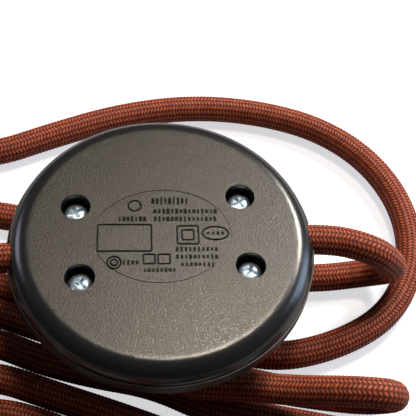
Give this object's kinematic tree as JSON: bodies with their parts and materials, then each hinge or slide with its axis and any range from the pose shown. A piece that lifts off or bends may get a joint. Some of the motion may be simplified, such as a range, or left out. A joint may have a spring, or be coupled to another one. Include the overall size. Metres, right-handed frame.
{
  "type": "lamp foot switch",
  "caption": "Round in-line foot switch for a lamp, upside down on its braided textile cord, with a push button, ratchet contact and flat two-pin plug.",
  "frame": {"origin": "centre of the housing's flat base face", "axes": "+Z is the outward normal of the flat base face, X runs through the two cord exits, towards the lamp lead; the switch lies with that face up and its button down"},
  "size_m": [0.1827, 0.1691, 0.0289],
  "materials": {
    "black_plastic": "finely grained black moulding",
    "zinc_steel": "bright zinc plate",
    "spring_steel": "drawn wire",
    "white_nylon": "natural nylon",
    "brass": "stamped",
    "block_resin": "pressed resin",
    "brown_sheath": "core insulation",
    "blue_sheath": "core insulation",
    "textile_braid": "round braided textile",
    "plug_plastic": "moulded",
    "nickel_brass": "nickel plate",
    "tinned_copper": "tinned"
  },
  "bodies": {
    "housing": {"base_shell": "black_plastic", "top_cover": "black_plastic", "housing_screws": "zinc_steel", "button_spring": "spring_steel", "rotor_pin": "spring_steel", "fixed_contact_in": "brass", "fixed_contact_out": "brass", "neutral_connector": "brass", "terminal_screws": "zinc_steel", "switch_block": "block_resin", "cord_grip_left": "black_plastic", "cord_grip_right": "black_plastic", "grip_screws": "zinc_steel", "supply_live_core": "brown_sheath", "supply_neutral_core": "blue_sheath", "lamp_live_core": "brown_sheath", "lamp_neutral_core": "blue_sheath", "supply_cord": "textile_braid", "lamp_cord": "textile_braid", "plug_lead": "textile_braid", "cord_coil": "textile_braid", "plug_body": "plug_plastic", "plug_pins": "nickel_brass", "lamp_end_cores": "brown_sheath", "lamp_end_ferrules": "tinned_copper"},
    "button": {"foot_button": "black_plastic", "drive_pusher": "white_nylon"},
    "rotor": {"ratchet_rotor": "white_nylon", "contact_bridge": "brass"}
  },
  "joints": [
    {"name": "button_press", "type": "slide", "parent": "housing", "child": "button", "axis": [0, 0, 1], "range_m": [0, 0.003], "stiffness_N_per_m": 1500, "springref_m": -0.003, "deforming": ["button_spring"]},
    {"name": "ratchet_turn", "type": "hinge", "parent": "housing", "child": "rotor", "pos_m": [0, 0, -0.009], "axis": [0, 0, 1], "range_deg": [0, 30.5]}
  ],
  "couplings": [
    {"joint": "ratchet_turn", "follows": "button_press", "rad_per_m": 174.5}
  ]
}
